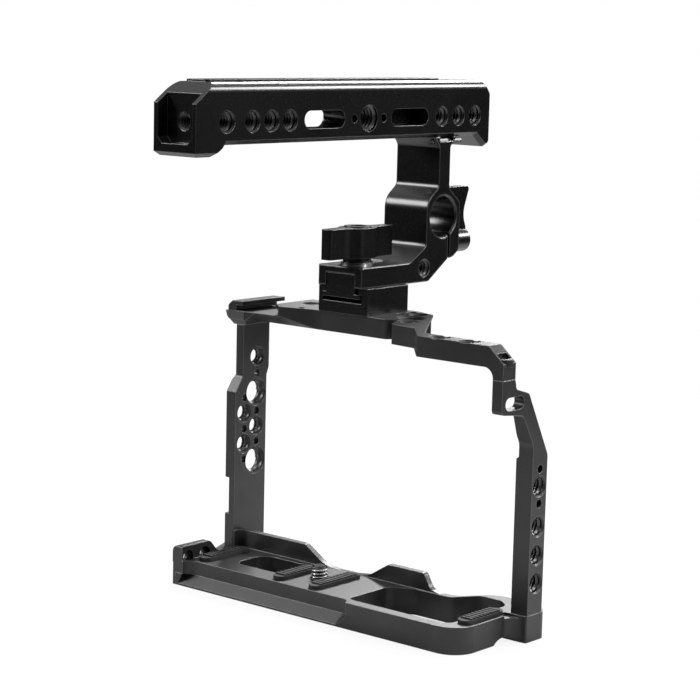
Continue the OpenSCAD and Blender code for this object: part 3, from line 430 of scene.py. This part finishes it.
# %% Screw head
bm = bmesh.new()
profile = [(0, -9.0), (6.4, -9.0), (6.8, -8.6), (6.8, -6.2), (6.4, -5.8), (2.7, -5.8),
           (2.7, 0.2), (0, 0.2)]
spin = [bm.verts.new(Vector((r, 0, z)) * MM) for r, z in profile]
edges = [bm.edges.new(pair) for pair in zip(spin, spin[1:])]
bmesh.ops.spin(bm, geom=spin + edges, cent=(0, 0, 0), axis=(0, 0, 1),
               angle=2 * math.pi, steps=64)
bmesh.ops.remove_doubles(bm, verts=bm.verts, dist=1e-7)
head = piece("camera_screw_head", bm, steel, "screw")
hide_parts("camera_screw")
slot_cut = bpy.data.objects.new("slot_cut", bpy.data.meshes.new("slot_cut"))
bm = bmesh.new()
bmesh.ops.create_cube(bm, size=1, matrix=Matrix.Translation((0, 0, -8.6 * MM))
                      @ Matrix.Diagonal((16 * MM, 1.8 * MM, 2.0 * MM, 1)))
bm.to_mesh(slot_cut.data)
bm.free()
bpy.context.scene.collection.objects.link(slot_cut)
cut = head.modifiers.new("slot", "BOOLEAN")
cut.object, cut.operation, cut.solver = slot_cut, "DIFFERENCE", "EXACT"
bpy.context.view_layer.update()
dg = bpy.context.evaluated_depsgraph_get()
mesh = bpy.data.meshes.new_from_object(head.evaluated_get(dg))
head.modifiers.clear()
head.data = mesh
bpy.data.objects.remove(slot_cut)
print("screw head:", len(head.data.polygons), "faces")

# %% [markdown]
# ## Floor and light
# A product like this is shot on a white table in a dark room. To all rays but the camera's the
# paper's colour is a painted pool of light: bright for a quarter of a metre round the object,
# then fading to black. Low parts mirror the white.
# The handle, higher up, mirrors the dark and stays nearly black. To the camera the paper is
# white everywhere, and only the object's own shadow darkens it.

# %% Floor
LIT_POOL_R, FADE_R = 0.22, 0.52
table = Finish("paper_white")
where = table.add("TexCoord").outputs["Object"]
reach = table.add("VectorMath", operation="LENGTH")
table.link(where, reach.inputs[0])
far = table.add("MapRange", {"From Min": LIT_POOL_R, "From Max": FADE_R},
                interpolation_type="SMOOTHSTEP")
table.link(reach.outputs["Value"], far.inputs["Value"])
# Painted pool of light: rays other than the camera's see the paper bright near the object and
# dark further out.
tone = table.ramp(far.outputs["Result"], [(0.0, grey(0.62)), (1.0, grey(0.02))])
rays = table.add("LightPath")
pale = table.add("Mix", data_type="RGBA")
pale.inputs["B"].default_value = (*grey(0.80), 1)
table.link(rays.outputs["Is Camera Ray"], pale.inputs["Factor"])
table.link(tone.outputs["Color"], pale.inputs["A"])
paper = table.add("BsdfDiffuse")
table.link(pale.outputs["Result"], paper.inputs["Color"])
glow = table.add("Emission", {"Color": (1, 1, 1, 1), "Strength": 1.0})
shown = table.spread(far.outputs["Result"], 0.86, 1.0)
seen = table.add("Math", operation="MULTIPLY")
table.link(rays.outputs["Is Camera Ray"], seen.inputs[0])
table.link(shown.outputs["Result"], seen.inputs[1])
blend = table.add("MixShader")
table.link(seen.outputs["Value"], blend.inputs["Fac"])
table.link(paper.outputs["BSDF"], blend.inputs[1])
table.link(glow.outputs["Emission"], blend.inputs[2])
table.link(blend.outputs["Shader"], table.out.inputs["Surface"])

bm = bmesh.new()
bmesh.ops.create_circle(bm, cap_ends=True, segments=96, radius=3.0)
mesh = bpy.data.meshes.new("floor")
bm.to_mesh(mesh)
bm.free()
mesh.materials.append(table.mat)
floor = bpy.data.objects.new("floor", mesh)
floor.location.z = cad_box[0].z - 0.0002
bpy.context.scene.collection.objects.link(floor)
print("floor at z = %.4f m" % floor.location.z)

# %% [markdown]
# The room is dark near the horizon and bright overhead, like a big soft box on the ceiling.
# Flat upright faces then mirror the dark, and every bevel that leans upwards lights up.

# %% World
world = bpy.data.worlds.new("studio")
bpy.context.scene.world = world
world.use_nodes = True
tree = world.node_tree
tree.nodes.clear()
out = tree.nodes.new("ShaderNodeOutputWorld")
aim = tree.nodes.new("ShaderNodeTexCoord")
split = tree.nodes.new("ShaderNodeSeparateXYZ")
tree.links.new(aim.outputs["Generated"], split.inputs["Vector"])
lift = tree.nodes.new("ShaderNodeMapRange")
lift.inputs["From Min"].default_value = -1
tree.links.new(split.outputs["Z"], lift.inputs["Value"])
height = tree.nodes.new("ShaderNodeValToRGB")
ROOM = ((0.0, 0.02), (0.62, 0.02), (0.74, 0.20), (0.86, 0.80), (1.0, 1.0))
while len(height.color_ramp.elements) < len(ROOM):
    height.color_ramp.elements.new(0.5)
for e, (at, tone) in zip(height.color_ramp.elements, ROOM):
    e.position, e.color = at, (tone, tone, tone, 1)
tree.links.new(lift.outputs["Result"], height.inputs["Fac"])
room = tree.nodes.new("ShaderNodeBackground")
tree.links.new(height.outputs["Color"], room.inputs["Color"])
white = tree.nodes.new("ShaderNodeBackground")
white.inputs["Color"].default_value = (1, 1, 1, 1)
mix = tree.nodes.new("ShaderNodeMixShader")
ray = tree.nodes.new("ShaderNodeLightPath")
tree.links.new(ray.outputs["Is Camera Ray"], mix.inputs["Fac"])
tree.links.new(room.outputs["Background"], mix.inputs[1])
tree.links.new(white.outputs["Background"], mix.inputs[2])
tree.links.new(mix.outputs["Shader"], out.inputs["Surface"])
bpy.context.scene.view_settings.view_transform = "Standard"
print("world stops:", ROOM)

# %% [markdown]
# Four soft boxes do the drawing. One high on the left lays a sheen on the uprights and the
# stem's curves. A narrow one on the right picks out the edges of the holes. Two stand
# behind, where the flat tops and the bar's upper bevel mirror them towards the viewer.

# %% Soft boxes
def soft_box(name, at, size, power):
    lamp = bpy.data.lights.new(name, "AREA")
    lamp.shape, lamp.size, lamp.size_y = "RECTANGLE", size[0], size[1]
    lamp.energy = power
    obj = bpy.data.objects.new(name, lamp)
    bpy.context.scene.collection.objects.link(obj)
    obj.location = at
    to = Vector((0, 0.03, 0.09)) - obj.location
    obj.rotation_euler = to.to_track_quat("-Z", "Y").to_euler()
    return obj


# name: place in metres, width and height in metres, power in watts
SOFT_BOXES = {
    "box_left": ((-0.95, -0.80, 0.80), (0.5, 0.5), 14),
    "box_right": ((0.9, 0.2, 0.5), (0.25, 0.5), 6.5),
    "box_back_left": ((-0.60, 1.15, 0.85), (0.6, 0.3), 18),
    "box_back_right": ((0.70, 1.20, 0.85), (0.45, 0.4), 17),
}
for name, (at, size, power) in SOFT_BOXES.items():
    soft_box(name, at, size, power)
